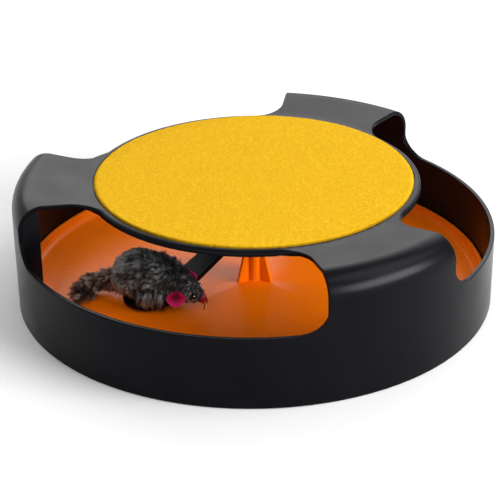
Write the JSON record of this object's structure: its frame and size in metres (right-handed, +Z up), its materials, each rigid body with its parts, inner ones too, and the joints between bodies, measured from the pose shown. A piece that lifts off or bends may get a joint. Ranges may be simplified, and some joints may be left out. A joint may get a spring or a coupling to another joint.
{
  "type": "spinning mouse cat toy",
  "caption": "Round track with a mouse on a freely turning arm inside a windowed cover, and a flat scratch pad on top.",
  "frame": {"origin": "on the turning axis at the floor, in the middle of the toy's footprint", "axes": "+Z up along the turning axis; -Y towards the viewer of the picture, +X to their right"},
  "size_m": [0.25, 0.25, 0.0652],
  "materials": {
    "black_plastic": "satin moulded polypropylene",
    "orange_plastic": "glossy moulded polystyrene",
    "yellow_carpet": "short needle-felt carpet",
    "grey_foam": "closed-cell foam",
    "steel": "zinc-plated steel",
    "grey_plastic": "plain moulded plastic",
    "grey_fur": "short grey-black fur",
    "pink_felt": "felt",
    "red_plastic": "glossy bead",
    "black_bead": "glossy bead",
    "brown_thread": "stiff thread"
  },
  "bodies": {
    "housing": {"top_cover": "black_plastic", "scratch_pad": "yellow_carpet", "base_tray": "orange_plastic", "foot_1": "grey_foam", "foot_2": "grey_foam", "foot_3": "grey_foam", "cover_screw_1": "steel", "cover_screw_2": "steel", "cover_screw_3": "steel", "pivot_washer": "steel", "pivot_screw": "steel"},
    "rotor": {"rotor_arm": "black_plastic", "mouse_screw": "steel", "mouse_core": "grey_plastic", "mouse_body": "grey_fur", "mouse_head": "grey_fur", "mouse_tail": "grey_fur", "left_ear": "pink_felt", "right_ear": "pink_felt", "left_eye": "black_bead", "right_eye": "black_bead", "mouse_nose": "red_plastic", "left_whisker": "brown_thread", "right_whisker": "brown_thread"}
  },
  "joints": [
    {"name": "rotor_spin", "type": "hinge", "parent": "housing", "child": "rotor", "pos_m": [0, 0, 0.0377], "axis": [0, 0, 1], "continuous": true}
  ]
}
